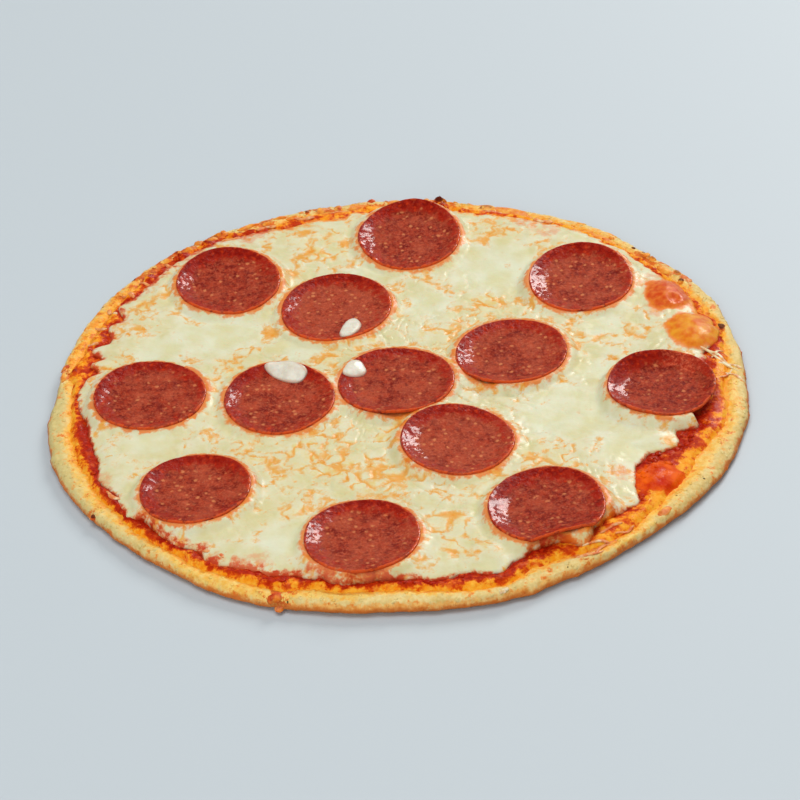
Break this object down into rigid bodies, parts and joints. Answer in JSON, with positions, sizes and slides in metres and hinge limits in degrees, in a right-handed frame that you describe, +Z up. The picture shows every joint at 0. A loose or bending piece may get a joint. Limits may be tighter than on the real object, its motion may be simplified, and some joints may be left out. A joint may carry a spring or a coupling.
{
  "type": "pepperoni pizza",
  "caption": "Whole round thin-crust pizza with tomato sauce, melted cheese browned in places, cupped pepperoni slices and drops of white cheese on some slices.",
  "frame": {"origin": "centre of the crust's flat underside", "axes": "+Z up through the toppings, +X to the right and +Y away from the viewer as pictured"},
  "size_m": [0.2528, 0.253, 0.0133],
  "materials": {
    "crust": "baked dough, pale and floury on the rim, toasted brown along the lower edge",
    "sauce": "baked tomato sauce, dark red to orange, moist and rough",
    "cheese": "melted cheese, cream with golden brown veins and spots, soft sheen",
    "pepperoni": "cured sausage, fine grained with small specks of fat, oily sheen",
    "cheese_drop": "melted white cheese, smooth and moist"
  },
  "bodies": {
    "root": {"crust": "crust", "sauce": "sauce", "cheese": "cheese", "pepperoni_01": "pepperoni", "pepperoni_02": "pepperoni", "pepperoni_03": "pepperoni", "pepperoni_04": "pepperoni", "pepperoni_05": "pepperoni", "pepperoni_06": "pepperoni", "pepperoni_07": "pepperoni", "pepperoni_08": "pepperoni", "pepperoni_09": "pepperoni", "pepperoni_10": "pepperoni", "pepperoni_11": "pepperoni", "pepperoni_12": "pepperoni", "pepperoni_13": "pepperoni", "cheese_drop_1": "cheese_drop", "cheese_drop_2": "cheese_drop", "cheese_drop_3": "cheese_drop"}
  },
  "joints": []
}
